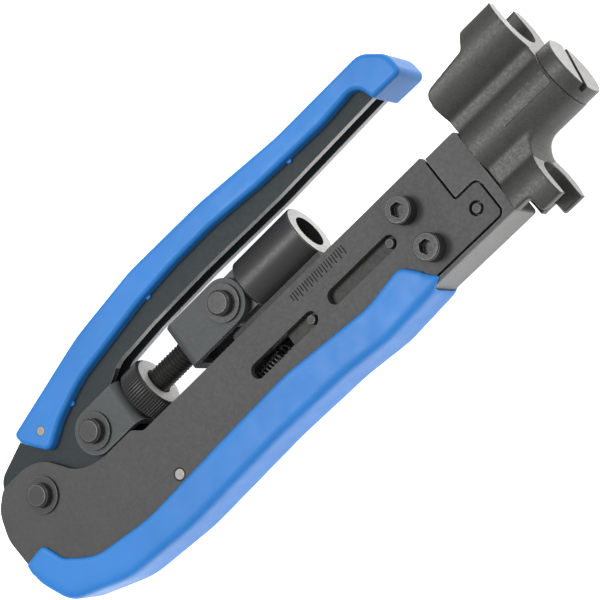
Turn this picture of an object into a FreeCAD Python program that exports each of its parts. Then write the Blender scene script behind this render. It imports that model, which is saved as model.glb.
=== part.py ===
import FreeCAD, Part
import math
import os

# Adjustable compression crimping tool with a rotating two-cup die head.
#
# Frame: millimetres. The origin is the centre of the plunger's socket mouth with
# the handles closed. +X runs along the crimp axis from the tail to the die head,
# +Y points to the moving handle and +Z to the front of the tool, which lies on
# its back. Every node is written as one STEP file in parts/.

V = FreeCAD.Vector

# ---- driving dimensions (mm) -------------------------------------------------
# frame: two steel plates around a head block and a spine
FRAME_T = 14.8                        # overall thickness of the plated frame
PLATE_T = 2.2                         # one side plate
HALF_T = FRAME_T / 2
HALF_GAP = HALF_T - PLATE_T           # inner face of a side plate
PLATE_TOP_Y = -11.0
PLATE_BOTTOM_Y = -40.2
SLOT_W = 5.0
SLOT_Y = -23.1
SLOT_ENDS_X = ((-39.4, -11.2), (-5.8, 22.4))
SCREW_XY = ((29.6, -19.3), (29.6, -33.4))
SCREW_HOLE_R = 2.5
DOWEL_XY = (46.9, -33.9)
DOWEL_R = 1.5
DOWEL_HOLE_R = 2.3                    # clearance hole in the plates
ANCHOR_XY = (-78.0, -29.3)
ANCHOR_R = 1.75
ANCHOR_SINK = 0.5                     # countersink round the anchor pin

# M5 fasteners
CAP_R = 4.25
CAP_HEIGHT = 5.0
CAP_KEY = 4.0
CAP_SOCKET_DEPTH = 2.6
M5_NUT_FLATS = 8.0
M5_NUT_HEIGHT = 4.0

# return spring: from the anchor pin to the carriage
SPRING_ENDS = ((-75.2, -28.8), (-30.0, -22.2))
SPRING_R = 2.9
SPRING_WIRE = 0.8

# linkage: three pivots, the last two on the crimp axis
MAIN_PIVOT = (-121.0, -2.8)
LINK_PIVOT = (-93.0, 0.0)
FORK_PIVOT = (-33.0, 0.0)
PIN_R = 3.9
PIN_PLAY = 0.05
WASHER_R = 6.0
WASHER_T = 1.0
PIN_PROUD = 2.7                       # pin end above its washer

# lever channel and yokes
LEVER_HALF = 5.0
LEVER_SHEET = 2.4
EAR_T = 2.6
EAR_HALF_Y = 7.6
EAR_OUT = HALF_GAP + EAR_T
YOKE_FRONT_X = -78.0
FORK_REAR_X = -54.2

# adjusting nut on an M8 rod
NUT_X = (-77.2, -69.2)
NUT_R = 9.2
ROD_R = 4.0
SPIGOT_R = 4.5

# plunger and carriage
BARREL_R = 9.2
BARREL_REAR_X = -25.4
SOCKET_R = 5.5
SOCKET_DEPTH = 12.0
CARRIAGE_HALF = 5.0
GUIDE_PIN_R = 1.45
GUIDE_PIN_X = (-13.8, 19.8)

# head block and die turret
BLOCK_X = (24.5, 56.0)
BLOCK_Y = (-42.3, -12.3)
BLOCK_GROOVE = 0.65                   # gap round the plate's tongue
TOE_X = 20.5                          # the block's foot under the grip
TURRET_X0 = 56.5
TURRET_AXIS_Y = -21.0
HUB_R = 10.3
HUB_END_X = 87.9
SHAFT_R = 5.0
CUP_A_R = 12.2                        # long cup, on the crimp axis
CUP_A_WIDE_R = 8.4
CUP_A_NARROW_R = 7.0
CUP_A_END_X = 88.0
CUP_A_TOP_Y = 7.0
WEB_A_HALF = 7.4
CUP_B_Y = 2 * TURRET_AXIS_Y           # short cup, opposite
CUP_B_R = 11.0
CUP_B_WIDE_R = 7.2
CUP_B_NARROW_R = 6.0
CUP_B_END_X = 69.3
CUP_B_TOP_Y = -48.6
WEB_B_HALF = 7.6
COVE_R = 7.0                          # blend between the hub and the short cup
HEAD_SCREW_R = 10.1
HEAD_SCREW_X = (88.1, 93.0)
HEAD_SLOT_W = 2.0
HEAD_SLOT_DEPTH = 2.2
HEAD_SLOT_TILT = -33.0                # degrees about +X from +Y
THREAD_R = 4.0
THREAD_X0 = 38.0
DETENT_Y = TURRET_AXIS_Y - 9.0
DETENT_X0 = 45.0
DETENT_BALL_R = 1.9
DETENT_HOLE_R = 2.0

# grips
GRIP_HALF = 8.7
GRIP_PALM_RIM = 2.0
GRIP_INNER_RIM = 1.0
GRIP_UPPER_RIM = 1.6
GRIP_END_X = 22.8                     # where the lower grip's side stops at the block
GRIP_RIVET_XY = (-108.3, 12.6)
GRIP_RIVET_R = 1.6
CLIP_XY = ((-95.3, 13.0), (-52.9, 20.1), (10.3, 18.5))
CLIP_R = 0.9
CLIP_HEIGHT = 1.0                     # above the lever's side


# ---- shape helpers -----------------------------------------------------------
def rounded_wire(corners, z=0.0):
    """Closed wire through (x, y, radius) corners, each rounded by an arc."""
    count = len(corners)
    edges = []
    starts = []
    ends = []
    for i in range(count):
        x, y, radius = corners[i]
        here = V(x, y, z)
        back = V(corners[i - 1][0], corners[i - 1][1], z) - here
        ahead = V(corners[(i + 1) % count][0], corners[(i + 1) % count][1], z) - here
        half = back.getAngle(ahead) / 2
        reach = radius / math.tan(half)
        back.normalize()
        ahead.normalize()
        middle = back + ahead
        middle.normalize()
        rise = radius / math.sin(half) - radius
        starts.append(here + back * reach)
        ends.append(here + ahead * reach)
        if radius > 0:
            edges.append(Part.Arc(starts[i], here + middle * rise, ends[i]).toShape())
    lines = []
    for i in range(count):
        following = starts[(i + 1) % count]
        if (following - ends[i]).Length > 1e-6:
            lines.append(Part.makeLine(ends[i], following))
    return Part.Wire(Part.__sortEdges__(edges + lines))


def slab(corners, z0, z1):
    """Plate with a rounded outline between two heights."""
    face = Part.Face(rounded_wire(corners, z0))
    return face.extrude(V(0, 0, z1 - z0))


def disc(xy, radius, z0, z1):
    """Cylinder along Z."""
    return Part.makeCylinder(radius, z1 - z0, V(xy[0], xy[1], z0))


def bar(x0, x1, radius, y=0.0, z=0.0):
    """Cylinder along X."""
    return Part.makeCylinder(radius, x1 - x0, V(x0, y, z), V(1, 0, 0))


def box(x0, x1, y0, y1, z0, z1):
    return Part.makeBox(x1 - x0, y1 - y0, z1 - z0, V(x0, y0, z0))


def mirrored(shape):
    """The same shape on the back of the tool."""
    return shape.mirror(V(0, 0, 0), V(0, 0, 1))


def slot(x0, x1, y, width, z0, z1):
    """Round-ended slot along X."""
    radius = width / 2
    middle = box(x0 + radius, x1 - radius, y - radius, y + radius, z0, z1)
    left = disc((x0 + radius, y), radius, z0, z1)
    right = disc((x1 - radius, y), radius, z0, z1)
    return middle.fuse([left, right]).removeSplitter()


def prism(xy, radius, sides, z0, z1, turn=0.0):
    """Regular prism along Z, its corners on the given radius."""
    points = []
    for i in range(sides + 1):
        angle = turn + 2 * math.pi * i / sides
        points.append(V(xy[0] + radius * math.cos(angle), xy[1] + radius * math.sin(angle), z0))
    return Part.Face(Part.makePolygon(points)).extrude(V(0, 0, z1 - z0))


def edges_at_z(shape, height):
    """Edges that lie wholly in one horizontal plane."""
    return [e for e in shape.Edges
            if abs(e.BoundBox.ZMin - height) < 1e-4 and abs(e.BoundBox.ZMax - height) < 1e-4]


def edges_at_x(shape, x):
    """Edges that lie wholly in one plane across the crimp axis."""
    return [e for e in shape.Edges
            if abs(e.BoundBox.XMin - x) < 1e-4 and abs(e.BoundBox.XMax - x) < 1e-4]


# ---- outlines, as (x, y, corner radius) --------------------------------------
PLATE_OUTLINE = (
    (43.3, PLATE_TOP_Y, 0.8),
    (-79.5, PLATE_TOP_Y, 2.5),
    (-83.0, -8.0, 2.5),
    (-96.0, -8.0, 8.0),
    (-105.4, -6.2, 15.0),
    (-116.0, 8.2, 15.0),
    (-132.0, 8.2, 5.0),
    (-137.6, 3.4, 10.0),
    (-140.4, -5.5, 12.0),
    (-139.0, -20.0, 5.0),
    (-131.0, -30.0, 9.0),
    (-118.0, PLATE_BOTTOM_Y, 9.0),
    (52.1, PLATE_BOTTOM_Y, 1.8),
    (52.1, -27.9, 1.8),
    (43.3, -27.9, 1.2),
)

SPINE_OUTLINE = (
    (24.0, -34.5, 0.6),
    (-112.0, -34.5, 9.0),
    (-126.0, -27.0, 9.0),
    (-132.2, -16.5, 1.0),
    (-137.6, -17.5, 1.0),
    (-131.0, -30.0, 9.0),
    (-118.0, PLATE_BOTTOM_Y, 9.0),
    (24.0, PLATE_BOTTOM_Y, 0.6),
)

LOWER_GRIP_INNER = (
    (-150.0, -16.6, 0.0),
    (-139.6, -16.0, 0.0),
    (-130.8, -14.7, 2.6),
    (-127.2, -22.8, 6.0),
    (-117.5, -29.8, 20.0),
    (-95.0, -32.8, 60.0),
    (-60.0, -31.1, 60.0),
    (-30.0, -30.1, 60.0),
    (3.0, -32.9, 25.0),
    (18.0, -30.7, 4.0),
    (27.2, -41.8, 0.0),
    (35.0, -51.2, 0.0),
    (-150.0, -51.2, 0.0),
)

LOWER_GRIP_OUTER = (
    (-139.0, 0.0, 0.0),
    (-140.3, -22.0, 14.0),
    (-134.0, -34.8, 10.0),
    (-112.0, -42.6, 30.0),
    (-85.0, -44.4, 60.0),
    (-45.0, -42.9, 80.0),
    (-16.0, -43.1, 60.0),
    (2.0, -44.7, 30.0),
    (22.8, -43.4, 2.5),
    (31.0, -40.4, 0.0),
    (31.0, 0.0, 0.0),
)

LEVER_OUTLINE = (
    (-119.0, 16.4, 5.0),
    (-131.5, 12.0, 6.0),
    (-137.4, 1.0, 10.0),
    (-134.0, -16.0, 9.0),
    (-112.0, -15.5, 11.0),
    (-100.5, -7.0, 6.0),
    (-86.6, -7.0, 6.8),
    (-84.6, 6.6, 6.0),
    (-74.5, 11.9, 9.0),
    (-58.0, 13.0, 60.0),
    (-34.0, 13.4, 60.0),
    (0.0, 12.7, 80.0),
    (43.6, 13.6, 0.8),
    (44.8, 22.6, 1.6),
    (10.0, 24.0, 80.0),
    (-15.0, 26.2, 80.0),
    (-50.0, 27.6, 80.0),
    (-82.0, 24.2, 80.0),
    (-106.0, 18.8, 40.0),
)

UPPER_GRIP_OUTLINE = (
    (-117.6, 18.4, 1.8),
    (-117.0, 14.4, 2.5),
    (-110.0, 5.8, 2.6),
    (-101.0, 10.9, 8.0),
    (-88.0, 15.6, 40.0),
    (-56.0, 19.9, 60.0),
    (-40.0, 20.8, 60.0),
    (-22.0, 20.8, 60.0),
    (-2.0, 18.9, 50.0),
    (26.0, 18.0, 50.0),
    (41.4, 19.2, 4.5),
    (43.2, 12.2, 0.8),
    (55.2, 11.8, 2.2),
    (54.8, 19.4, 6.0),
    (48.2, 25.6, 7.0),
    (12.0, 25.9, 80.0),
    (-20.0, 28.9, 80.0),
    (-52.0, 29.6, 60.0),
    (-80.0, 26.9, 80.0),
)


CARRIAGE_OUTLINE = (
    (0.0, -8.4, 0.0),
    (-38.4, -8.4, 1.5),
    (-38.4, -18.0, 1.0),
    (-23.6, -18.0, 1.0),
    (-23.6, -30.0, 1.5),
    (22.6, -30.0, 1.5),
    (22.6, -13.0, 1.5),
    (0.0, -13.0, 1.0),
)

CUP_A_RIM = (
    (50.0, 20.0, 0.0),
    (50.0, -5.0, 0.0),
    (56.5, -5.0, 0.0),
    (57.0, 0.0, 3.5),
    (73.3, 2.0, 0.6),
    (75.8, 7.0, 0.6),
    (76.0, 20.0, 0.0),
)


# ---- fixed frame -------------------------------------------------------------
def side_plate():
    """Front plate: two guide slots and the holes of every fastener."""
    plate = slab(PLATE_OUTLINE, HALF_GAP, HALF_T)
    cuts = [slot(x0, x1, SLOT_Y, SLOT_W, 0, 20) for x0, x1 in SLOT_ENDS_X]
    cuts += [disc(xy, SCREW_HOLE_R, 0, 20) for xy in SCREW_XY]
    cuts.append(disc(DOWEL_XY, DOWEL_HOLE_R, 0, 20))
    cuts.append(disc(ANCHOR_XY, ANCHOR_R, 0, 20))
    cuts.append(disc(MAIN_PIVOT, PIN_R, 0, 20))
    foot = V(ANCHOR_XY[0], ANCHOR_XY[1], HALF_T - ANCHOR_SINK)
    cuts.append(Part.makeCone(ANCHOR_R, ANCHOR_R + ANCHOR_SINK, ANCHOR_SINK, foot))
    return plate.cut(cuts)


def head_block():
    """Solid block at the head, let into both plates with an open groove."""
    block = box(BLOCK_X[0], BLOCK_X[1], BLOCK_Y[0], BLOCK_Y[1], -HALF_T, HALF_T)
    corners = [e for e in block.Edges if abs(e.BoundBox.ZLength - FRAME_T) < 1e-4]
    block = block.makeFillet(1.2, corners)
    toe = box(TOE_X, BLOCK_X[0] + 3, BLOCK_Y[0], PLATE_BOTTOM_Y, -HALF_T, HALF_T)
    block = block.fuse(toe).removeSplitter()
    groove = Part.Face(rounded_wire(PLATE_OUTLINE, HALF_GAP)).makeOffset2D(BLOCK_GROOVE)
    recess = groove.extrude(V(0, 0, PLATE_T + 1))
    cuts = [recess, mirrored(recess)]
    cuts += [disc(xy, SCREW_HOLE_R, -20, 20) for xy in SCREW_XY]
    cuts.append(disc(DOWEL_XY, DOWEL_R, -20, 20))
    cuts.append(bar(THREAD_X0 - 2, 60.0, THREAD_R, TURRET_AXIS_Y))
    cuts.append(bar(DETENT_X0, 60.0, DETENT_HOLE_R, DETENT_Y))
    return block.cut(cuts)


def spine():
    """Bent bar that holds the plates apart along the fixed handle."""
    return slab(SPINE_OUTLINE, -HALF_GAP, HALF_GAP)


def rimmed_slab(corners, half, radius):
    """Slab centred on the tool's middle plane, its two rims rounded."""
    shape = slab(corners, -half, half)
    return shape.makeFillet(radius, edges_at_z(shape, half) + edges_at_z(shape, -half))


def lower_grip(block):
    """Plastic sleeve over the lower edge of the frame, fuller on the palm side."""
    inner = rimmed_slab(LOWER_GRIP_INNER, GRIP_HALF, GRIP_INNER_RIM)
    outer = rimmed_slab(LOWER_GRIP_OUTER, GRIP_HALF, GRIP_PALM_RIM)
    grip = inner.common(outer)
    beside_block = box(GRIP_END_X, 40, -60, BLOCK_Y[0], -20, HALF_T)
    return grip.cut([slab(PLATE_OUTLINE, -HALF_T, HALF_T), block, beside_block])


def cap_screw(xy):
    """M5 socket cap screw through the plates, with a hexagon socket."""
    top = HALF_T + CAP_HEIGHT
    head = disc(xy, CAP_R, HALF_T, top)
    head = head.makeChamfer(0.4, edges_at_z(head, top))
    shank = disc(xy, SCREW_HOLE_R, -HALF_T - M5_NUT_HEIGHT - 0.6, HALF_T)
    socket = prism(xy, CAP_KEY / 2 / math.cos(math.pi / 6), 6, top - CAP_SOCKET_DEPTH, top)
    return head.fuse(shank).cut(socket).removeSplitter()


def hex_nut(xy):
    """M5 hexagon nut behind the rear plate."""
    corner_r = M5_NUT_FLATS / 2 / math.cos(math.pi / 6)
    nut = prism(xy, corner_r, 6, -HALF_T - M5_NUT_HEIGHT, -HALF_T, math.pi / 6)
    return nut.cut(disc(xy, SCREW_HOLE_R, -20, 0))


def straight_pin(xy, radius, half_length, chamfer):
    """Pin through the frame, chamfered at both ends."""
    pin = disc(xy, radius, -half_length, half_length)
    rims = edges_at_z(pin, half_length) + edges_at_z(pin, -half_length)
    return pin.makeChamfer(chamfer, rims)


def washer(xy, z0):
    return disc(xy, WASHER_R, z0, z0 + WASHER_T).cut(disc(xy, PIN_R, -20, 20))


def return_spring():
    """Extension spring inside the frame, as a plain tube of its outer size."""
    start = V(SPRING_ENDS[0][0], SPRING_ENDS[0][1], 0)
    along = V(SPRING_ENDS[1][0], SPRING_ENDS[1][1], 0) - start
    tube = Part.makeCylinder(SPRING_R, along.Length, start, along)
    return tube.cut(Part.makeCylinder(SPRING_R - SPRING_WIRE, along.Length, start, along))


def detent_ball():
    """Ball that clicks against the turret's rear face."""
    return Part.makeSphere(DETENT_BALL_R, V(BLOCK_X[1] - 1.5, DETENT_Y, 0))


def detent_spring():
    """Spring behind the ball, as a plain tube of its outer size."""
    x1 = BLOCK_X[1] - 3.5
    tube = bar(DETENT_X0, x1, DETENT_BALL_R - 0.1, DETENT_Y)
    return tube.cut(bar(DETENT_X0 - 1, x1 + 1, DETENT_BALL_R - 0.6, DETENT_Y))


# ---- moving handle -----------------------------------------------------------
def lever():
    """Steel channel folded along its back, open towards the frame."""
    body = slab(LEVER_OUTLINE, -LEVER_HALF, LEVER_HALF)
    inside = slab(LEVER_OUTLINE, -LEVER_HALF + LEVER_SHEET, LEVER_HALF - LEVER_SHEET)
    inside.translate(V(2.2, -LEVER_SHEET, 0))
    holes = [disc(MAIN_PIVOT, PIN_R + PIN_PLAY, -20, 20)]
    holes.append(disc(LINK_PIVOT, PIN_R + PIN_PLAY, -20, 20))
    holes.append(disc(GRIP_RIVET_XY, GRIP_RIVET_R, -20, 20))
    return body.cut([inside] + holes)


def upper_grip():
    """Plastic sleeve over the channel, hooked at its end, with three clip nubs."""
    grip = rimmed_slab(UPPER_GRIP_OUTLINE, GRIP_HALF, GRIP_UPPER_RIM)
    reach = LEVER_HALF + CLIP_HEIGHT
    for xy in CLIP_XY:
        grip = grip.fuse(disc(xy, CLIP_R, -reach, reach))
    channel = slab(LEVER_OUTLINE, -LEVER_HALF, LEVER_HALF)
    return grip.cut([channel, disc(GRIP_RIVET_XY, GRIP_RIVET_R, -20, 20)])


# ---- link: yoke, nut, rod and fork -------------------------------------------
def strap(x_open, x_closed):
    """U-shaped strap: two ears along X joined by a cross wall at x_closed."""
    way = 1 if x_closed > x_open else -1
    outer_r = 3.2
    inner_r = outer_r - EAR_T
    outer = ((x_open, EAR_OUT, 0.0), (x_closed, EAR_OUT, outer_r),
             (x_closed, -EAR_OUT, outer_r), (x_open, -EAR_OUT, 0.0))
    wall_x = x_closed - way * EAR_T
    inner = ((x_open - way, HALF_GAP, 0.0), (wall_x, HALF_GAP, inner_r),
             (wall_x, -HALF_GAP, inner_r), (x_open - way, -HALF_GAP, 0.0))
    solids = []
    for corners in (outer, inner):
        face = Part.Face(rounded_wire(corners))
        solid = face.extrude(V(0, 0, 2 * EAR_HALF_Y))
        solid.rotate(V(0, 0, 0), V(1, 0, 0), 90)
        solid.translate(V(0, EAR_HALF_Y, 0))
        solids.append(solid)
    return solids[0].cut(solids[1])


def round_eye(shape, pivot, x_far):
    """Trim a strap's ears to a round end about the pivot and drill them."""
    x0 = min(pivot[0], x_far)
    x1 = max(pivot[0], x_far)
    keep = box(x0, x1, -EAR_HALF_Y, EAR_HALF_Y, -20, 20)
    keep = keep.fuse(disc(pivot, EAR_HALF_Y, -20, 20)).removeSplitter()
    return shape.common(keep).cut(disc(pivot, PIN_R, -20, 20))


def rear_yoke():
    """Clevis on the lever that carries the adjusting nut."""
    ears = strap(LINK_PIVOT[0] - EAR_HALF_Y, YOKE_FRONT_X)
    eye = round_eye(ears, LINK_PIVOT, YOKE_FRONT_X)
    return eye.cut(bar(-90.0, -70.0, SPIGOT_R + PIN_PLAY))


def front_fork():
    """Clevis on the plunger, with the rod fixed in its cross wall."""
    ears = strap(FORK_PIVOT[0] + EAR_HALF_Y, FORK_REAR_X)
    eye = round_eye(ears, FORK_PIVOT, FORK_REAR_X)
    return eye.cut(bar(-60.0, -45.0, ROD_R))


def threaded_rod():
    rod = bar(-75.6, -49.2, ROD_R)
    return rod.makeChamfer(0.6, edges_at_x(rod, -75.6) + edges_at_x(rod, -49.2))


def adjusting_nut():
    """Knurled thumb nut, threaded on the rod and turning in the yoke."""
    body = bar(NUT_X[0], NUT_X[1], NUT_R)
    body = body.makeChamfer(0.5, edges_at_x(body, NUT_X[0]) + edges_at_x(body, NUT_X[1]))
    spigot = bar(-83.4, NUT_X[0], SPIGOT_R)
    bore = bar(-76.9, NUT_X[1], ROD_R + PIN_PLAY)
    return body.fuse(spigot).cut(bore).removeSplitter()


def nut_clip():
    """Snap ring that keeps the nut's spigot in the yoke."""
    return bar(-82.4, -81.2, 5.1).cut(bar(-90.0, -70.0, SPIGOT_R))


# ---- plunger -----------------------------------------------------------------
def plunger():
    """Hollow-nosed barrel with a flat tongue between the fork's ears."""
    barrel = bar(BARREL_REAR_X, 0.0, BARREL_R)
    barrel = barrel.makeChamfer(1.0, edges_at_x(barrel, BARREL_REAR_X))
    barrel = barrel.makeChamfer(0.3, edges_at_x(barrel, 0.0))
    neck = box(FORK_PIVOT[0], BARREL_REAR_X + 2, -7.0, 7.0, -CARRIAGE_HALF, CARRIAGE_HALF)
    eye = disc(FORK_PIVOT, 7.0, -CARRIAGE_HALF, CARRIAGE_HALF)
    body = barrel.fuse([neck, eye]).removeSplitter()
    cuts = [disc(FORK_PIVOT, PIN_R + PIN_PLAY, -20, 20)]
    cuts.append(bar(-SOCKET_DEPTH, 1.0, SOCKET_R))
    return body.cut(cuts)


def carriage():
    """Web below the barrel that runs between the side plates."""
    web = slab(CARRIAGE_OUTLINE, -CARRIAGE_HALF, CARRIAGE_HALF)
    barrel = bar(BARREL_REAR_X, 1.0, BARREL_R)
    holes = [disc((x, SLOT_Y), GUIDE_PIN_R, -20, 20) for x in GUIDE_PIN_X]
    return web.cut([barrel] + holes)


# ---- die turret --------------------------------------------------------------
def cup_channel(x0, x1, y, radius, way):
    """U-shaped channel along X, open towards +Y (way 1) or -Y (way -1)."""
    round_part = bar(x0, x1, radius, y)
    y_far = y + way * 30
    throat = box(x0, x1, min(y, y_far), max(y, y_far), -radius, radius)
    return round_part.fuse(throat)


def short_cup_blank():
    """Short cup and its web, turned off at the end and coved into the hub."""
    x_far = CUP_B_END_X + COVE_R
    blank = bar(TURRET_X0, x_far, CUP_B_R, CUP_B_Y)
    blank = blank.fuse(box(TURRET_X0, x_far, CUP_B_Y, TURRET_AXIS_Y, -WEB_B_HALF, WEB_B_HALF))
    top = V(CUP_B_END_X, HUB_R + COVE_R, 0)
    foot = V(x_far, HUB_R, 0)
    bend = COVE_R * (1 - math.sqrt(0.5))
    middle = V(CUP_B_END_X + bend, HUB_R + bend, 0)
    outside = 60.0
    edges = [
        Part.Arc(top, middle, foot).toShape(),
        Part.makeLine(foot, V(x_far + 5, HUB_R, 0)),
        Part.makeLine(V(x_far + 5, HUB_R, 0), V(x_far + 5, outside, 0)),
        Part.makeLine(V(x_far + 5, outside, 0), V(CUP_B_END_X, outside, 0)),
        Part.makeLine(V(CUP_B_END_X, outside, 0), top),
    ]
    turned_off = Part.Face(Part.Wire(edges)).revolve(V(0, 0, 0), V(1, 0, 0), 360)
    turned_off.translate(V(0, TURRET_AXIS_Y, 0))
    return blank.cut(turned_off)


def turret():
    """Cast head with a long cup on the crimp axis and a short one opposite."""
    hub = bar(TURRET_X0, HUB_END_X, HUB_R, TURRET_AXIS_Y)
    cup_a = bar(TURRET_X0, CUP_A_END_X, CUP_A_R)
    web_a = box(TURRET_X0, HUB_END_X, TURRET_AXIS_Y, -4.0, -WEB_A_HALF, WEB_A_HALF)
    body = cup_a.fuse([hub, web_a, short_cup_blank()])
    cuts = [cup_channel(TURRET_X0 - 1, 74.0, 0.0, CUP_A_WIDE_R, 1)]
    cuts.append(cup_channel(70.0, 90.0, 0.0, CUP_A_NARROW_R, 1))
    cuts.append(cup_channel(TURRET_X0 - 1, 62.4, CUP_B_Y, CUP_B_WIDE_R, -1))
    cuts.append(cup_channel(60.0, 80.0, CUP_B_Y, CUP_B_NARROW_R, -1))
    cuts.append(slab(CUP_A_RIM, -20, 20))
    cuts.append(box(50.0, 90.0, CUP_A_TOP_Y, 20.0, -20, 20))
    cuts.append(box(50.0, 61.6, -60.0, -43.6, -20, 20))
    cuts.append(box(50.0, 90.0, -60.0, CUP_B_TOP_Y, -20, 20))
    cuts.append(bar(50.0, 95.0, SHAFT_R + PIN_PLAY, TURRET_AXIS_Y))
    return body.cut(cuts).removeSplitter()


def head_screw():
    """Slotted shoulder screw that the turret turns on."""
    head = bar(HEAD_SCREW_X[0], HEAD_SCREW_X[1], HEAD_SCREW_R, TURRET_AXIS_Y)
    head = head.makeFillet(0.6, edges_at_x(head, HEAD_SCREW_X[1]))
    shoulder = bar(BLOCK_X[1], HEAD_SCREW_X[0], SHAFT_R, TURRET_AXIS_Y)
    thread = bar(THREAD_X0, BLOCK_X[1], THREAD_R, TURRET_AXIS_Y)
    body = head.fuse([shoulder, thread])
    half = HEAD_SLOT_W / 2
    kerf = box(HEAD_SCREW_X[1] - HEAD_SLOT_DEPTH, 100.0, -20.0, 20.0, -half, half)
    kerf.rotate(V(0, 0, 0), V(1, 0, 0), HEAD_SLOT_TILT)
    kerf.translate(V(0, TURRET_AXIS_Y, 0))
    return body.cut(kerf).removeSplitter()


# ---- build -------------------------------------------------------------------
def build():
    """Every node by name."""
    front = side_plate()
    block = head_block()
    nodes = {
        "front_plate": front,
        "rear_plate": mirrored(front),
        "head_block": block,
        "spine": spine(),
        "lower_grip": lower_grip(block),
        "head_dowel": straight_pin(DOWEL_XY, DOWEL_R, HALF_T, 0.25),
        "spring_anchor_pin": straight_pin(ANCHOR_XY, ANCHOR_R, HALF_T, 0.2),
        "return_spring": return_spring(),
        "detent_ball": detent_ball(),
        "detent_spring": detent_spring(),
        "lever": lever(),
        "upper_grip": upper_grip(),
        "grip_rivet": straight_pin(GRIP_RIVET_XY, GRIP_RIVET_R, GRIP_HALF + 0.2, 0.3),
        "rear_yoke": rear_yoke(),
        "adjusting_nut": adjusting_nut(),
        "nut_clip": nut_clip(),
        "threaded_rod": threaded_rod(),
        "front_fork": front_fork(),
        "plunger": plunger(),
        "carriage": carriage(),
        "die_turret": turret(),
        "turret_screw": head_screw(),
    }
    for number, xy in enumerate(SCREW_XY, 1):
        nodes[f"cap_screw_{number}"] = cap_screw(xy)
        nodes[f"hex_nut_{number}"] = hex_nut(xy)
    for number, x in enumerate(GUIDE_PIN_X, 1):
        nodes[f"guide_pin_{number}"] = straight_pin((x, SLOT_Y), GUIDE_PIN_R, HALF_T - 0.2, 0.2)
    pivots = (("main", MAIN_PIVOT, HALF_T), ("link", LINK_PIVOT, EAR_OUT), ("fork", FORK_PIVOT, EAR_OUT))
    for name, xy, seat in pivots:
        half_length = seat + WASHER_T + PIN_PROUD
        nodes[f"{name}_pivot_pin"] = straight_pin(xy, PIN_R, half_length, 0.7)
        nodes[f"{name}_washer_front"] = washer(xy, seat)
        nodes[f"{name}_washer_rear"] = washer(xy, -seat - WASHER_T)
    return nodes


def main():
    os.makedirs("parts", exist_ok=True)
    for name, shape in build().items():
        solids = shape.Solids
        if len(solids) != 1 or not shape.isValid():
            raise ValueError(f"{name}: {len(solids)} solids, valid {shape.isValid()}")
        solids[0].exportStep(f"parts/{name}.step")
        bounds = shape.BoundBox
        print(f"{name:20s} x {bounds.XMin:8.2f} {bounds.XMax:8.2f}  y {bounds.YMin:7.2f} {bounds.YMax:7.2f}"
              f"  z {bounds.ZMin:7.2f} {bounds.ZMax:7.2f}  vol {shape.Volume:9.1f}")


main()
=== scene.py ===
import math
import bmesh
import bpy
from mathutils import Matrix, Vector
from mathutils.kdtree import KDTree


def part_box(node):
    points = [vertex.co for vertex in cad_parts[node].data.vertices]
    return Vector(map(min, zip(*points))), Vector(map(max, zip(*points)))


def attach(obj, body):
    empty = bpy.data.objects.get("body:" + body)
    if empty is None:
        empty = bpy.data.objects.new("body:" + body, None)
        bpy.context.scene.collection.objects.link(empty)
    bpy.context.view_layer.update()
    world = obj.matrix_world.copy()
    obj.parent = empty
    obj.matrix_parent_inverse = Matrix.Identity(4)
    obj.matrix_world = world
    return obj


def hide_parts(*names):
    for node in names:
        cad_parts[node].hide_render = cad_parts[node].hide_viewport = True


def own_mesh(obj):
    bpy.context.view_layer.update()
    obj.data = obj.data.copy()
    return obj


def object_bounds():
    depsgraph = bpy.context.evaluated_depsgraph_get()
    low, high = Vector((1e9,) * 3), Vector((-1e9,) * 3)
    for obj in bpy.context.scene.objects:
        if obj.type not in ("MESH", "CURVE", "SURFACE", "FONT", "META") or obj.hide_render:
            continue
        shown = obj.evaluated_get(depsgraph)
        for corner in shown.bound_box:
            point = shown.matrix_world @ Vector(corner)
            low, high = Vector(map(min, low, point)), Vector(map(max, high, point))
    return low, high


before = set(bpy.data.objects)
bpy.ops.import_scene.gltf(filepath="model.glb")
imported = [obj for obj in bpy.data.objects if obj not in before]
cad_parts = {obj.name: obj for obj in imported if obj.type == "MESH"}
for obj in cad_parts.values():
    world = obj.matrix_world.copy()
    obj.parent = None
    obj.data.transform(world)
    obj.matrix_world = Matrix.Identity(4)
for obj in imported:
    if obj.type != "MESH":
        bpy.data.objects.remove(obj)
cad_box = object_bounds()

# Looks of the crimping tool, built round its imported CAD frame. Lengths are in
# metres. +X runs along the crimp axis to the die head, +Y points to the moving
# handle and +Z out of the front plate.

MM = 0.001
TURN = 2 * math.pi

# ---- edges -------------------------------------------------------------------
WELD_REACH = 0.001 * MM
FLAT_ANGLE = 0.6                      # degrees, below which faces are merged
EDGE_ANGLE = 32                       # degrees, above which an edge is rounded
ROUND_STEPS = 2

# ---- rod thread --------------------------------------------------------------
THREAD_PITCH = 1.25 * MM
THREAD_DEPTH = 0.62 * MM
THREAD_SIDES = 48
THREAD_RINGS = 10                     # rings of points in one pitch
THREAD_SLOPE = 1.25                   # share of the depth that a flank gains in half a pitch
THREAD_CREST = 0.12                   # share taken off it, which leaves the crest flat
ROD_END_CHAMFER = 0.7 * MM

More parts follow.
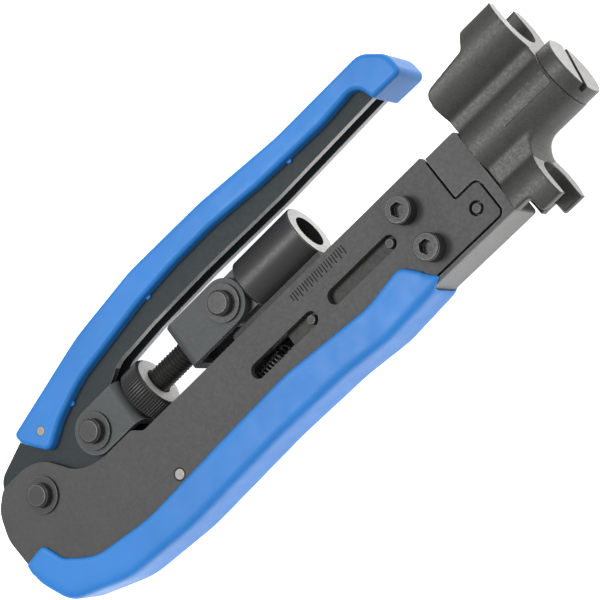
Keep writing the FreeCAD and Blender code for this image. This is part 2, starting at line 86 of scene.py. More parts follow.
# ---- adjusting nut -----------------------------------------------------------
KNURL_COUNT = 58
KNURL_DEPTH = 0.42 * MM
KNURL_WAVE = (0.0, 0.15, 1.0, 0.15)   # one rib, as shares of the depth
KNURL_ENDS = (                        # mm in from the rim, mm in from the face, share of depth
    (1.0, 0.0, 0.0),
    (0.75, 0.1, 0.0),
    (0.12, 0.7, 0.6),
    (0.0, 0.9, 1.0),
)
NUT_BORE_R = 4.05 * MM
NUT_SPIGOT_R = 4.5 * MM
NUT_CENTRE_R = 0.6 * MM
NUT_GAP = 0.8 * MM                    # from the yoke to the nut's rear face
NUT_FLOOR = 0.3 * MM
NUT_LEAD_IN = 0.5 * MM
NUT_CHAMFER = 0.3 * MM

# ---- return spring -----------------------------------------------------------
SPRING_WIRE_R = 0.42 * MM
SPRING_WIRE_SIDES = 8
SPRING_TURNS = 34
SPRING_STEPS = 16                     # points in one turn
SPRING_END_GAP = 0.4 * MM
SPRING_HOOK = 0.8                     # turns
SPRING_HOOK_STEPS = 14

# ---- scale on the front plate ------------------------------------------------
TICK_PITCH = 1.05 * MM
TICK_COUNT = 22
TICK_LENGTHS = (2.3 * MM, 3.3 * MM)
TICK_WIDTH = 0.36 * MM
TICK_HEIGHT = 0.20 * MM
TICK_ROUND = 0.07 * MM
TICK_TOP_Y = -12.9 * MM
TICK_START = 0.9 * MM                 # past the rear guide pin

# ---- die turret --------------------------------------------------------------
CAST_VOXEL = 0.32 * MM
CAST_BLEND_STEPS = 40
HUB_Y = -21.0 * MM
HUB_R = 10.3 * MM
CUP_A_CLEAN_R = 8.6 * MM              # machined bores, with their rims
CUP_B_CLEAN_R = 7.4 * MM
CUP_B_Y = -42.0 * MM
CUP_B_END_X = 69.3 * MM
COVE_TOP_Y = -31.0 * MM
MACHINED_MARGIN = 0.12 * MM
PAD_X = (69.0 * MM, 87.3 * MM)        # plain pad on the hub
PAD_HALF = 2.35 * MM
PAD_HEIGHT = 0.24 * MM
PAD_COLUMNS = 12
PAD_ROUND = 0.06 * MM

# ---- lower grip --------------------------------------------------------------
GRIP_VOXEL = 0.5 * MM
GRIP_ROUND_STEPS = 60
GRIP_ROUND_REACH = 4.5 * MM
PALM_FACING = -0.35                   # the palm's side has normals below this in Y

# ---- studio ------------------------------------------------------------------
ZENITH_LIGHT = 1.0
HORIZON_LIGHT = 0.28
SKY_BAND = (0.1, 0.9)                 # upward part of a direction, from dim to bright
FLOOR_GLOW = 1.0
FLOOR_SIZE = 8
FLOOR_GAP = 0.05 * MM                 # below the tool
KEY_PLACE = (-0.32, 0.26, 1.1)
KEY_SIZE = 0.45
KEY_POWER = 7.0
END_PLACE = (1.2, 0.0, 0.20)          # beyond the head
END_SIZE = 0.7
END_POWER = 4.5

# ---- camera, at the photograph's viewing angle -------------------------------
VIEW_AZIMUTH = 45.8
VIEW_ELEVATION = 60.9
VIEW_ROLL = -86.4
VIEW_DISTANCE = 699.2 * MM
VIEW_TARGET = Vector((-15.7, -13.5, 0.0)) * MM
VIEW_LENS = 141.06
VIEW_SENSOR = 36


# ---- materials ---------------------------------------------------------------
class Look:
    """A node material under construction. Texture scales are per metre."""

    def __init__(self, name, color, metallic, roughness, specular=0.5):
        self.material = bpy.data.materials.new(name)
        self.material.use_nodes = True
        self.tree = self.material.node_tree
        self.shader = self.tree.nodes["Principled BSDF"]
        self.shader.inputs["Base Color"].default_value = (*color, 1)
        self.shader.inputs["Metallic"].default_value = metallic
        self.shader.inputs["Roughness"].default_value = roughness
        self.shader.inputs["Specular IOR Level"].default_value = specular
        self.place = self.node("ShaderNodeTexCoord").outputs["Object"]
        self.height = None

    def node(self, kind, **settings):
        """A new node with some of its settings changed."""
        made = self.tree.nodes.new(kind)
        for key, value in settings.items():
            setattr(made, key, value)
        return made

    def join(self, output, node, socket):
        """Link an output to a node's input."""
        self.tree.links.new(output, node.inputs[socket])

    def stretched(self, scale):
        """Object coordinates scaled by axis, for a pattern with a direction."""
        mapping = self.node("ShaderNodeMapping")
        self.join(self.place, mapping, "Vector")
        mapping.inputs["Scale"].default_value = scale
        return mapping.outputs["Vector"]

    def noise(self, scale, detail=3.0, place=None):
        """Cloudy pattern from 0 to 1."""
        made = self.node("ShaderNodeTexNoise")
        self.join(place or self.place, made, "Vector")
        made.inputs["Scale"].default_value = scale
        made.inputs["Detail"].default_value = detail
        return made.outputs["Fac"]

    def spots(self, scale):
        """Distance to the nearest of many scattered points."""
        made = self.node("ShaderNodeTexVoronoi")
        self.join(self.place, made, "Vector")
        made.inputs["Scale"].default_value = scale
        return made.outputs["Distance"]

    def ramped(self, value, low, high, out_low, out_high):
        """A value carried from one range to another and held inside it."""
        made = self.node("ShaderNodeMapRange")
        self.join(value, made, "Value")
        made.inputs["From Min"].default_value = low
        made.inputs["From Max"].default_value = high
        made.inputs["To Min"].default_value = out_low
        made.inputs["To Max"].default_value = out_high
        return made.outputs["Result"]

    def multiplied(self, first, second):
        """The product of two values."""
        made = self.node("ShaderNodeMath", operation="MULTIPLY")
        self.join(first, made, 0)
        self.join(second, made, 1)
        return made.outputs[0]

    def colors(self, factor, first, second):
        """Base colour between two values."""
        made = self.node("ShaderNodeMix", data_type="RGBA")
        self.join(factor, made, "Factor")
        made.inputs["A"].default_value = (*first, 1)
        made.inputs["B"].default_value = (*second, 1)
        self.join(made.outputs["Result"], self.shader, "Base Color")

    def over(self, factor, color):
        """Another colour mixed over the base colour."""
        made = self.node("ShaderNodeMix", data_type="RGBA")
        self.join(factor, made, "Factor")
        self.join(self.shader.inputs["Base Color"].links[0].from_socket, made, "A")
        made.inputs["B"].default_value = (*color, 1)
        self.join(made.outputs["Result"], self.shader, "Base Color")

    def roughness(self, value, low, high):
        """Roughness between two values, following a pattern."""
        self.join(self.ramped(value, 0.3, 0.7, low, high), self.shader, "Roughness")

    def bump(self, value, strength, distance):
        """Relief from a pattern; a second call adds to the first."""
        made = self.node("ShaderNodeBump")
        self.join(value, made, "Height")
        made.inputs["Strength"].default_value = strength
        made.inputs["Distance"].default_value = distance
        if self.height is not None:
            self.join(self.height, made, "Normal")
        self.height = made.outputs["Normal"]
        self.join(self.height, self.shader, "Normal")


def shade(tint, factor):
    """The same tint, darker or lighter."""
    return tuple(factor * c for c in tint)


def black_steel(name, tint, gloss=0.52, specular=0.32):
    """Satin black-oxide steel: cloudy tone, fine grain and a few pale specks."""
    look = Look(name, tint, 0.0, gloss, specular)
    look.colors(look.ramped(look.noise(90, 5), 0.3, 0.7, 0, 1), shade(tint, 0.92), shade(tint, 1.05))
    look.over(look.ramped(look.noise(1400, 2), 0.35, 0.65, 0, 0.25), shade(tint, 1.35))
    look.over(look.ramped(look.noise(700, 6), 0.68, 0.76, 0, 0.22), (0.13, 0.127, 0.123))
    look.roughness(look.noise(900, 3), gloss - 0.04, gloss + 0.05)
    look.bump(look.noise(2600, 2), 0.14, 0.02 * MM)
    return look.material


def worn_and_highlit_steel(name, tint):
    """The same steel along an edge, lighter all along it as a painted highlight, with pale patches where
    handling has worn the finish thin.
    """
    look = Look(name, tint, 0.3, 0.36, 0.4)
    bare = look.ramped(look.noise(150, 6), 0.40, 0.66, 0.10, 0.75)
    look.colors(bare, shade(tint, 1.3), (0.20, 0.20, 0.195))
    look.roughness(look.noise(1200, 3), 0.30, 0.44)
    look.bump(look.noise(2600, 2), 0.12, 0.02 * MM)
    return look.material


def cast_steel(name, tint):
    """Blasted casting: coarse grain with small pale bruises on its outer edges."""
    look = Look(name, tint, 0.0, 0.45, 0.50)
    look.colors(look.ramped(look.noise(260, 6), 0.32, 0.7, 0, 1), shade(tint, 0.82), shade(tint, 1.12))
    look.over(look.ramped(look.noise(1500, 3), 0.4, 0.65, 0, 0.4), shade(tint, 1.9))
    geometry = look.node("ShaderNodeNewGeometry")
    outer = look.ramped(geometry.outputs["Pointiness"], 0.54, 0.62, 0, 1)
    bruise = look.ramped(look.noise(800, 5), 0.48, 0.66, 0, 0.4)
    look.over(look.multiplied(outer, bruise), (0.20, 0.19, 0.18))
    look.roughness(look.noise(1400, 4), 0.38, 0.54)
    look.bump(look.noise(1500, 5), 0.40, 0.08 * MM)
    look.bump(look.spots(1100), 0.20, 0.05 * MM)
    return look.material


def turned_steel(name, color, roughness, metallic=0.15):
    """Pale machined face with the concentric marks of a lathe about X."""
    look = Look(name, color, metallic, 0.4)
    rings = look.node("ShaderNodeTexWave", wave_type="RINGS", rings_direction="X")
    look.join(look.place, rings, "Vector")
    rings.inputs["Scale"].default_value = 900
    rings.inputs["Distortion"].default_value = 0.6
    look.colors(look.ramped(look.noise(300, 4), 0.35, 0.7, 0, 1), shade(color, 0.88), color)
    look.over(look.ramped(rings.outputs["Fac"], 0, 1, 0, 0.25), shade(color, 0.8))
    look.roughness(look.noise(700, 3), *roughness)
    look.bump(rings.outputs["Fac"], 0.15, 0.01 * MM)
    return look.material


def blue_plastic(name, tint):
    """Moulded handle plastic: satin, with a very fine texture and faint scuffs."""
    look = Look(name, tint, 0.0, 0.42, 0.26)
    look.colors(look.ramped(look.noise(35, 4), 0.3, 0.7, 0, 1), shade(tint, 0.93), shade(tint, 1.07))
    scuffs = look.ramped(look.noise(240, 5, look.stretched((1, 6, 2))), 0.62, 0.78, 0, 0.22)
    look.over(scuffs, (0.08, 0.28, 0.62))
    look.roughness(look.noise(160, 4), 0.36, 0.46)
    look.bump(look.noise(1900, 3), 0.12, 0.03 * MM)
    look.bump(look.noise(90, 2), 0.08, 0.12 * MM)
    return look.material


def spring_wire(name):
    """Dark drawn wire, its fine grain running across the spring, along its coils."""
    look = Look(name, (0.05, 0.05, 0.05), 0.5, 0.35)
    look.colors(look.noise(500, 3), (0.035, 0.035, 0.034), (0.085, 0.083, 0.080))
    look.roughness(look.noise(1500, 2), 0.28, 0.45)
    look.bump(look.noise(3000, 2, look.stretched((1, 0.2, 0.2))), 0.15, 0.01 * MM)
    return look.material


def pale_floor(name):
    """White table, bright enough to throw light up on the object's sides."""
    look = Look(name, (0.88, 0.88, 0.88), 0.0, 0.6)
    look.colors(look.noise(4, 2), (0.87, 0.87, 0.87), (0.89, 0.89, 0.89))
    look.shader.inputs["Emission Color"].default_value = (1, 1, 1, 1)
    look.shader.inputs["Emission Strength"].default_value = FLOOR_GLOW
    return look.material


STEEL_TINT = (0.045, 0.045, 0.045)
HEAD_TINT = (0.056, 0.056, 0.056)
LINK_TINT = (0.050, 0.056, 0.056)
LEVER_TINT = (0.024, 0.031, 0.034)
DARK_TINT = (0.022, 0.022, 0.021)
CAST_TINT = (0.030, 0.0295, 0.028)
GRIP_TINT = (0.020, 0.172, 0.510)

LOOKS = {
    "steel": black_steel("black_steel", STEEL_TINT),
    # The worn-steel edge looks colour the small rounds lighter than the faces: painted edge highlight, with
    # worn bare patches.
    "steel_edge": worn_and_highlit_steel("black_steel_edge", STEEL_TINT),
    "head": black_steel("head_steel", HEAD_TINT),
    "head_edge": worn_and_highlit_steel("head_steel_edge", HEAD_TINT),
    "link": black_steel("link_steel", LINK_TINT),
    "link_edge": worn_and_highlit_steel("link_steel_edge", LINK_TINT),
    "lever": black_steel("lever_steel", LEVER_TINT, 0.5, 0.16),
    "lever_edge": worn_and_highlit_steel("lever_steel_edge", LEVER_TINT),
    # Darkest steel, also used on the carriage as painted shade inside the slots.
    "dark": black_steel("dark_steel", DARK_TINT, 0.45, 0.22),
    # Lighter copy for the rounds of the dark parts: painted edge highlight.
    "dark_edge": black_steel("dark_steel_edge", shade(DARK_TINT, 1.5), 0.40),
    "screw": black_steel("fastener_steel", shade(STEEL_TINT, 0.55), 0.38, 0.34),
    # Lighter, glossier copy for pin and washer chamfers: painted highlight on the rims.
    "screw_edge": black_steel("fastener_steel_edge", shade(STEEL_TINT, 1.5), 0.34, 0.6),
    "cap": black_steel("cap_screw_steel", shade(DARK_TINT, 0.9), 0.36, 0.26),
    # Much lighter copy for the cap screw rims: painted rim highlight.
    "cap_edge": black_steel("cap_screw_edge", shade(STEEL_TINT, 1.6), 0.32, 0.6),
    "cast": cast_steel("cast_steel", CAST_TINT),
    "cast_edge": worn_and_highlit_steel("cast_steel_edge", (0.055, 0.054, 0.052)),
    "machined": turned_steel("machined_face", (0.27, 0.265, 0.255), (0.34, 0.48), 0.6),
    # Paler steel for the head block's -Y side: painted reflection.
    "side_reflection": black_steel("head_side_painted_reflection", (0.11, 0.11, 0.107), 0.45, 0.5),
    "bright": turned_steel("turned_steel", (0.60, 0.585, 0.56), (0.34, 0.46)),
    # Pale cut edges of the lever: bare steel, with painted light on its -Y faces.
    "cut_and_lit": turned_steel("cut_edge_painted_light", (0.36, 0.355, 0.345), (0.36, 0.5)),
    "pin": turned_steel("ground_pin", (0.22, 0.215, 0.205), (0.34, 0.46), 0.3),
    # Lighter copy for the pin chamfers: painted highlight.
    "pin_edge": turned_steel("ground_pin_edge", (0.34, 0.33, 0.32), (0.28, 0.40), 0.3),
    "grip": blue_plastic("blue_plastic", GRIP_TINT),
    "wire": spring_wire("spring_wire"),
    "mark": black_steel("scale_mark", shade(DARK_TINT, 0.5), 0.6, 0.12),
}


# ---- mesh helpers ------------------------------------------------------------
def place_piece(name, mesh, body, slot, *nodes):
    """Put a finished mesh in the scene, on its body and in place of its nodes."""
    piece = bpy.data.objects.new(name, mesh)
    bpy.context.scene.collection.objects.link(piece)
    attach(piece, body)
    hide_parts(*nodes)
    return piece


def smooth(mesh, sharp_degrees):
    """Smooth shading, apart from edges sharper than an angle."""
    mesh.shade_smooth()
    mesh.set_sharp_from_angle(angle=math.radians(sharp_degrees))


def add_weighted_normals(piece):
    """Keep broad faces flat beside their rounded edges."""
    modifier = piece.modifiers.new("flat_faces", "WEIGHTED_NORMAL")
    modifier.keep_sharp = True


def cleaned(node):
    """A CAD node's mesh, welded, with its flat faces merged."""
    bm = bmesh.new()
    bm.from_mesh(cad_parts[node].data)
    bmesh.ops.remove_doubles(bm, verts=bm.verts, dist=WELD_REACH)
    bmesh.ops.dissolve_limit(bm, angle_limit=math.radians(FLAT_ANGLE), verts=bm.verts, edges=bm.edges)
    return bm


def finished(bm, name):
    """Turn a mesh under construction into a named mesh."""
    mesh = bpy.data.meshes.new(name)
    bm.to_mesh(mesh)
    bm.free()
    return mesh


def skin(bm, rings, closed=False):
    """Faces between rings of points, closed into a loop or capped at both ends."""
    pairs = list(zip(rings, rings[1:]))
    if closed:
        pairs.append((rings[-1], rings[0]))
    for first, second in pairs:
        for i in range(len(first)):
            j = (i + 1) % len(first)
            bm.faces.new((first[i], first[j], second[j], second[i]))
    if not closed:
        bm.faces.new(rings[0])
        bm.faces.new(rings[-1])
    bmesh.ops.recalc_face_normals(bm, faces=bm.faces)


def softened(node, body, slot, look, width, angle=EDGE_ANGLE):
    """A CAD node again, with its sharp edges broken by a small round."""
    bm = cleaned(node)
    limit = math.radians(angle)
    sharp = [e for e in bm.edges if len(e.link_faces) == 2 and e.calc_face_angle() > limit]
    # An edge look makes the rounds lighter than the faces: painted edge highlight, and on the worn-steel
    # looks also worn bare patches.
    edge_wear_and_highlight = look + "_edge" in LOOKS
    bmesh.ops.bevel(bm, geom=sharp, offset=width, segments=ROUND_STEPS, profile=0.5,
                    affect="EDGES", clamp_overlap=True, material=1 if edge_wear_and_highlight else 0)
    mesh = finished(bm, node + "_finish")
    smooth(mesh, 40)
    mesh.materials.append(LOOKS[look])
    if edge_wear_and_highlight:
        mesh.materials.append(LOOKS[look + "_edge"])
    piece = place_piece(node + "_finish", mesh, body, slot, node)
    add_weighted_normals(piece)
    return piece


def lathe(name, profile, count, wave):
    """Mesh turned about X from a closed run of (x, radius, groove depth) points."""
    bm = bmesh.new()
    rings = []
    for x, radius, depth in profile:
        ring = []
        for i in range(count):
            angle = TURN * i / count
            r = radius - depth * wave[i % len(wave)]
            ring.append(bm.verts.new((x, r * math.cos(angle), r * math.sin(angle))))
        rings.append(ring)
    skin(bm, rings, closed=True)
    return finished(bm, name)


def tube(name, points, radius, sides):
    """Round wire through a list of points."""
    bm = bmesh.new()
    rings = []
    side = Vector((0, 0, 1))
    for i, point in enumerate(points):
        ahead = points[min(i + 1, len(points) - 1)] - points[max(i - 1, 0)]
        ahead.normalize()
        side = (side - ahead * side.dot(ahead)).normalized()
        across = ahead.cross(side)
        ring = []
        for k in range(sides):
            angle = TURN * k / sides
            ring.append(bm.verts.new(point + (side * math.cos(angle) + across * math.sin(angle)) * radius))
        rings.append(ring)
    skin(bm, rings)
    mesh = finished(bm, name)
    mesh.shade_smooth()
    return mesh


def bake_modifiers(piece):
    """Swap a piece's mesh for the result of its modifiers."""
    graph = bpy.context.evaluated_depsgraph_get()
    name = piece.data.name
    baked = bpy.data.meshes.new_from_object(piece.evaluated_get(graph))
    piece.modifiers.clear()
    piece.data = baked
    baked.name = name


def remeshed(piece, voxel):
    """Rebuild a piece's mesh as an even skin."""
    remesh = piece.modifiers.new("skin", "REMESH")
    remesh.mode = "VOXEL"
    remesh.voxel_size = voxel
    bake_modifiers(piece)


def relaxed(piece, wanted, steps):
    """Smooth the part of an even skin that a test picks."""
    group = piece.vertex_groups.new(name="relaxed")
    for vertex in piece.data.vertices:
        if wanted(vertex.co):
            group.add([vertex.index], 1.0, "REPLACE")
    blend = piece.modifiers.new("blend", "SMOOTH")
    blend.factor = 0.5
    blend.iterations = steps
    blend.vertex_group = "relaxed"
    bake_modifiers(piece)
    piece.vertex_groups.clear()


def refaced(piece, look, wanted):
    """Give another look to the faces that a test picks."""
    piece.data.materials.append(LOOKS[look])
    index = len(piece.data.materials) - 1
    for face in piece.data.polygons:
        if wanted(face):
            face.material_index = index


# ---- pieces ------------------------------------------------------------------
def plain_steel_pieces():
    """Every CAD node whose shape is right gets only its edges broken."""
    groups = (  # body, material slot, look, round in mm, nodes
        ("frame", "black_steel", "steel", 0.22,
         ("front_plate", "rear_plate", "hex_nut_1", "hex_nut_2")),
        ("frame", "black_steel", "dark", 0.20, ("spine",)),
        ("frame", "black_steel", "cap", 0.18, ("cap_screw_1", "cap_screw_2")),
        ("frame", "black_steel", "screw", 0.18,
         ("main_pivot_pin", "main_washer_front", "main_washer_rear")),
        ("frame", "bright_steel", "pin", 0.10, ("spring_anchor_pin",)),
        ("frame", "bright_steel", "head", 0.10, ("head_dowel",)),
        ("handle", "bright_steel", "pin", 0.15, ("grip_rivet",)),
        ("yoke", "black_steel", "link", 0.30, ("rear_yoke",)),
        ("yoke", "black_steel", "screw", 0.18,
         ("link_pivot_pin", "link_washer_front", "link_washer_rear")),
        ("rod", "black_steel", "link", 0.30, ("front_fork",)),
        ("rod", "black_steel", "screw", 0.18,
         ("fork_pivot_pin", "fork_washer_front", "fork_washer_rear")),
        # The carriage takes the darkest steel: painted shade for where it sits down inside the plate slots.
        ("ram", "black_steel", "dark", 0.25, ("carriage",)),
        ("ram", "bright_steel", "steel", 0.12, ("guide_pin_1", "guide_pin_2")),
    )
    for body, slot, look, width, nodes in groups:
        for node in nodes:
            softened(node, body, slot, look, width * MM)


def hidden_nodes():
    """Small inner pieces keep their CAD shape."""
    for node, look in (("detent_ball", "pin"), ("detent_spring", "wire"), ("nut_clip", "wire")):
        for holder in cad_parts[node].material_slots:
            holder.material = LOOKS[look]


def upper_grip():
    """Moving sleeve, with a small round on its moulded rims."""
    softened("upper_grip", "handle", "blue_plastic", "grip", 0.25 * MM, 40)


def lower_grip():
    """Fixed sleeve, with a fuller round along the side that the palm holds."""
    mesh = finished(cleaned("lower_grip"), "lower_grip_finish")
    mesh.materials.append(LOOKS["grip"])
    piece = place_piece("lower_grip_finish", mesh, "frame", "blue_plastic", "lower_grip")
    remeshed(piece, GRIP_VOXEL)
    palm = [v.co.copy() for v in piece.data.vertices if v.normal.y < PALM_FACING]
    tree = KDTree(len(palm))
    for index, place in enumerate(palm):
        tree.insert(place, index)
    tree.balance()
    relaxed(piece, lambda place: tree.find(place)[2] < GRIP_ROUND_REACH, GRIP_ROUND_STEPS)
    piece.data.shade_smooth()


def head_block():
    """Block whose lower (-Y) side gets a paler copy of its steel: painted reflected light."""
    piece = softened("head_block", "frame", "black_steel", "head", 0.30 * MM)
    side_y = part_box("head_block")[0].y + 0.1 * MM
    # Paler -Y side: painted reflection.
    refaced(piece, "side_reflection", lambda face: face.center.y < side_y and face.normal.y < -0.9)


def lever():
    """Folded sheet whose cut edges, where the channel opens, are pale: bare cut steel, made paler still as
    painted light on these -Y faces.
    """
    piece = softened("lever", "handle", "black_steel", "lever", 0.30 * MM)
    front_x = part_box("rear_yoke")[1].x
    # Its -Y cut edges: bare steel plus painted light.
    refaced(piece, "cut_and_lit", lambda face: face.normal.y < -0.8 and face.center.x > front_x)


def turret_screw():
    """Blasted screw whose slotted face is turned clean."""
    piece = softened("turret_screw", "frame", "black_steel", "cast", 0.15 * MM)
    face_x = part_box("turret_screw")[1].x - 0.1 * MM
    refaced(piece, "machined", lambda face: face.center.x > face_x and face.normal.x > 0.9)


def plunger():
    """Dark barrel with a pale turned end face."""
    piece = softened("plunger", "ram", "bright_steel", "screw", 0.2 * MM)
    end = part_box("plunger")[1].x - 0.05 * MM
    refaced(piece, "bright", lambda face: face.center.x > end and face.normal.x > 0.9)


def threaded_rod():
    """Rod with a real helical thread and chamfered ends."""
    low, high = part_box("threaded_rod")
    crest = high.z
    count = int((high.x - low.x) / THREAD_PITCH * THREAD_RINGS)
    bm = bmesh.new()
    rings = []
    for k in range(count + 1):
        x = low.x + (high.x - low.x) * k / count
        from_end = min(x - low.x, high.x - x)
        cap = crest - max(0.0, ROD_END_CHAMFER - from_end)
        ring = []
        for i in range(THREAD_SIDES):
            phase = ((x - low.x) / THREAD_PITCH - i / THREAD_SIDES) % 1.0
            flank = THREAD_SLOPE * abs(2 * phase - 1) - THREAD_CREST
            radius = min(crest - THREAD_DEPTH * min(1.0, max(0.0, flank)), cap)
            angle = TURN * i / THREAD_SIDES
            ring.append(bm.verts.new((x, radius * math.cos(angle), radius * math.sin(angle))))
        rings.append(ring)
    skin(bm, rings)
    mesh = finished(bm, "rod_thread")
    smooth(mesh, 50)
    mesh.materials.append(LOOKS["dark"])
    place_piece("rod_thread", mesh, "rod", "black_steel", "threaded_rod")


def adjusting_nut():
    """Thumb nut: straight knurling, chamfered rims and a bright front face."""
    low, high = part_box("adjusting_nut")
    radius = high.z
    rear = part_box("rear_yoke")[1].x + NUT_GAP
    front = high.x
    profile = [
        (rear + NUT_FLOOR, NUT_BORE_R, 0),
        (front - NUT_LEAD_IN, NUT_BORE_R, 0),
        (front, NUT_BORE_R + NUT_LEAD_IN, 0),
    ]
    for drop, inset, share in KNURL_ENDS:
        profile.append((front - inset * MM, radius - drop * MM, KNURL_DEPTH * share))
    for drop, inset, share in reversed(KNURL_ENDS):
        profile.append((rear + inset * MM, radius - drop * MM, KNURL_DEPTH * share))
    profile += [
        (rear, NUT_SPIGOT_R, 0),
        (low.x + NUT_CHAMFER, NUT_SPIGOT_R, 0),
        (low.x, NUT_SPIGOT_R - NUT_CHAMFER, 0),
        (low.x, NUT_CENTRE_R, 0),
        (rear + NUT_FLOOR, NUT_CENTRE_R, 0),
    ]
    mesh = lathe("knurled_nut", profile, KNURL_COUNT * len(KNURL_WAVE), KNURL_WAVE)
    smooth(mesh, 30)
    mesh.materials.append(LOOKS["screw"])
    piece = place_piece("knurled_nut", mesh, "thumb_nut", "bright_steel", "adjusting_nut")
    refaced(piece, "bright", lambda face: face.center.x > front - 0.05 * MM and abs(face.normal.x) > 0.9)


def return_spring():
    """Extension spring from the anchor pin to a hook on the carriage."""
    low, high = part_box("return_spring")
    coil = high.z - SPRING_WIRE_R
    start = Vector((low.x + SPRING_END_GAP, low.y + high.z, 0))
    end = Vector((high.x - SPRING_END_GAP, high.y - high.z, 0))
    along = (end - start).normalized()
    across = Vector((-along.y, along.x, 0))
    up = Vector((0, 0, 1))
    count = SPRING_TURNS * SPRING_STEPS
    points = []
    for k in range(count + 1):
        angle = TURN * k / SPRING_STEPS
        centre = start.lerp(end, k / count)
        points.append(centre + (across * math.cos(angle) + up * math.sin(angle)) * coil)
    for k in range(1, SPRING_HOOK_STEPS + 1):
        angle = TURN * SPRING_HOOK * k / SPRING_HOOK_STEPS
        points.append(end + along * (coil * math.sin(angle)) + across * (coil * math.cos(angle)))
    mesh = tube("return_spring_coil", points, SPRING_WIRE_R, SPRING_WIRE_SIDES)
    mesh.materials.append(LOOKS["wire"])
    piece = place_piece("return_spring_coil", mesh, "frame", "spring_steel", "return_spring")
    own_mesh(piece)


def tick_scale():
    """Raised scale marks on the front plate, alternately short and long."""
    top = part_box("front_plate")[1].z
    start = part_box("guide_pin_1")[0].x + TICK_START
    bm = bmesh.new()
    for k in range(TICK_COUNT):
        length = TICK_LENGTHS[k % 2]
        middle = (start + k * TICK_PITCH, TICK_TOP_Y - length / 2, top)
        size = Matrix.Diagonal((TICK_WIDTH, length, TICK_HEIGHT, 1))
        bmesh.ops.create_cube(bm, size=1, matrix=Matrix.Translation(middle) @ size)
    bmesh.ops.bevel(bm, geom=list(bm.edges), offset=TICK_ROUND, segments=ROUND_STEPS, affect="EDGES")
    mesh = finished(bm, "tick_scale")
    smooth(mesh, 60)
    mesh.materials.append(LOOKS["mark"])
    place_piece("tick_scale", mesh, "frame", "black_steel")


def cast_turret():
    """The die head: blended like a casting, crisp where it is machined."""
    low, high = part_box("die_turret")
    mesh = finished(cleaned("die_turret"), "turret_casting")
    piece = place_piece("turret_casting", mesh, "turret", "cast_steel", "die_turret")
    remeshed(piece, CAST_VOXEL)
    relaxed(piece, lambda place: not machined(place, low, high), CAST_BLEND_STEPS)
    piece.data.materials.clear()
    piece.data.materials.append(LOOKS["cast"])
    piece.data.shade_smooth()
    refaced(piece, "machined", lambda face: abs(face.normal.x) > 0.97 and machined(face.center, low, high))


def machined(place, low, high):
    """Whether a point lies on one of the turret's machined faces."""
    bore_a = Vector((place.y, place.z)).length < CUP_A_CLEAN_R
    bore_b = Vector((place.y - CUP_B_Y, place.z)).length < CUP_B_CLEAN_R
    ends = place.x < low.x + MACHINED_MARGIN or place.x > high.x - 2 * MACHINED_MARGIN
    turned_end = place.x > CUP_B_END_X - MACHINED_MARGIN and place.y < COVE_TOP_Y
    return bore_a or bore_b or ends or turned_end


def hub_pad():
    """Plain raised pad along the front of the hub, curved to fit it."""
    bm = bmesh.new()
    count = PAD_COLUMNS + 1
    reach = math.asin(PAD_HALF / HUB_R)
    sections = []
    for x in PAD_X:
        section = []
        for radius in (HUB_R + PAD_HEIGHT, HUB_R - 2 * PAD_HEIGHT):
            for k in range(count):
                angle = reach * (2 * k / PAD_COLUMNS - 1)
                section.append(bm.verts.new((x, HUB_Y + radius * math.sin(angle), radius * math.cos(angle))))
        sections.append(section)
    first, second = sections
    for k in range(PAD_COLUMNS):
        bm.faces.new((first[k], first[k + 1], second[k + 1], second[k]))
        bm.faces.new((first[count + k], second[count + k], second[count + k + 1], first[count + k + 1]))
    for section in sections:
        bm.faces.new(section[:count] + section[:count - 1:-1])
    for k in (0, PAD_COLUMNS):
        bm.faces.new((first[k], second[k], second[count + k], first[count + k]))
    bmesh.ops.recalc_face_normals(bm, faces=bm.faces)
    rim = [e for e in bm.edges if e.calc_face_angle() > 1.0]
    bmesh.ops.bevel(bm, geom=rim, offset=PAD_ROUND, segments=ROUND_STEPS, affect="EDGES")
    mesh = finished(bm, "hub_pad")
    smooth(mesh, 40)
    mesh.materials.append(LOOKS["cast"])
    place_piece("hub_pad", mesh, "turret", "cast_steel")


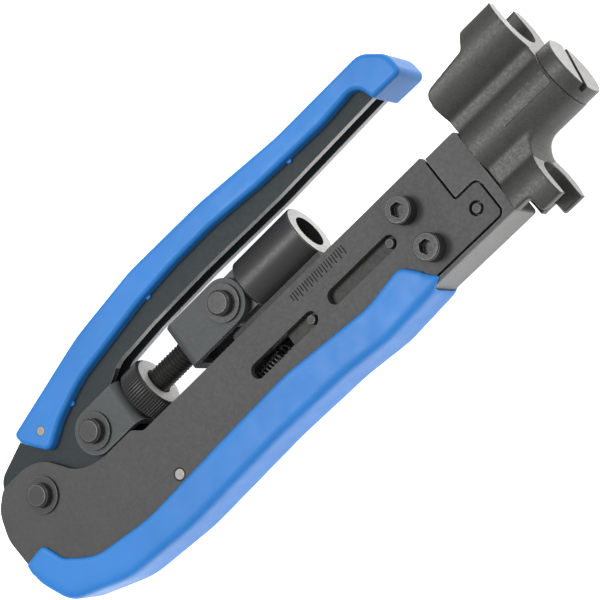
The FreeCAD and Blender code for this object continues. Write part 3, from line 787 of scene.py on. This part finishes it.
# ---- studio ------------------------------------------------------------------
def camera():
    """Camera from azimuth, elevation and roll, without shift or blur."""
    azimuth = math.radians(VIEW_AZIMUTH)
    elevation = math.radians(VIEW_ELEVATION)
    roll = math.radians(VIEW_ROLL)
    back = Vector((math.sin(azimuth) * math.cos(elevation),
                   -math.cos(azimuth) * math.cos(elevation),
                   math.sin(elevation)))
    level = Vector((math.cos(azimuth), math.sin(azimuth), 0))
    upright = back.cross(level)
    right = level * math.cos(roll) + upright * math.sin(roll)
    up = back.cross(right)
    data = bpy.data.cameras.new("camera")
    data.lens = VIEW_LENS
    data.sensor_width = VIEW_SENSOR
    data.clip_end = 20
    seen = bpy.data.objects.new("camera", data)
    bpy.context.scene.collection.objects.link(seen)
    turned = Matrix((right, up, back)).transposed().to_4x4()
    seen.matrix_world = Matrix.Translation(VIEW_TARGET + back * VIEW_DISTANCE) @ turned
    bpy.context.scene.camera = seen


def area_light(name, place, size, power):
    """Round soft light aimed at the origin."""
    data = bpy.data.lights.new(name, "AREA")
    data.shape = "DISK"
    data.size = size
    data.energy = power
    lamp = bpy.data.objects.new(name, data)
    bpy.context.scene.collection.objects.link(lamp)
    lamp.location = place
    lamp.rotation_euler = (-Vector(place)).to_track_quat("-Z", "Y").to_euler()


def soft_sky():
    """Studio surroundings: a bright ceiling that falls off to dim walls."""
    world = bpy.data.worlds.new("studio")
    world.use_nodes = True
    nodes = world.node_tree.nodes
    links = world.node_tree.links
    direction = nodes.new("ShaderNodeTexCoord").outputs["Generated"]
    split = nodes.new("ShaderNodeSeparateXYZ")
    links.new(direction, split.inputs["Vector"])
    ramp = nodes.new("ShaderNodeMapRange")
    ramp.interpolation_type = "SMOOTHSTEP"
    links.new(split.outputs["Z"], ramp.inputs["Value"])
    ramp.inputs["From Min"].default_value = SKY_BAND[0]
    ramp.inputs["From Max"].default_value = SKY_BAND[1]
    ramp.inputs["To Min"].default_value = HORIZON_LIGHT
    ramp.inputs["To Max"].default_value = ZENITH_LIGHT
    links.new(ramp.outputs["Result"], nodes["Background"].inputs["Strength"])
    nodes["Background"].inputs["Color"].default_value = (1, 1, 1, 1)
    return world


def studio():
    """Pale floor, soft sky and two soft lights."""
    floor_z = cad_box[0].z - FLOOR_GAP
    bpy.ops.mesh.primitive_plane_add(size=FLOOR_SIZE, location=(0, 0, floor_z))
    floor = bpy.context.object
    floor.name = "floor"
    floor.data.materials.append(pale_floor("pale_floor"))
    bpy.context.scene.world = soft_sky()
    area_light("key", KEY_PLACE, KEY_SIZE, KEY_POWER)
    area_light("end", END_PLACE, END_SIZE, END_POWER)
    bpy.context.scene.view_settings.view_transform = "Standard"


plain_steel_pieces()
hidden_nodes()
head_block()
upper_grip()
lower_grip()
lever()
turret_screw()
plunger()
threaded_rod()
adjusting_nut()
return_spring()
tick_scale()
cast_turret()
hub_pad()
camera()
studio()
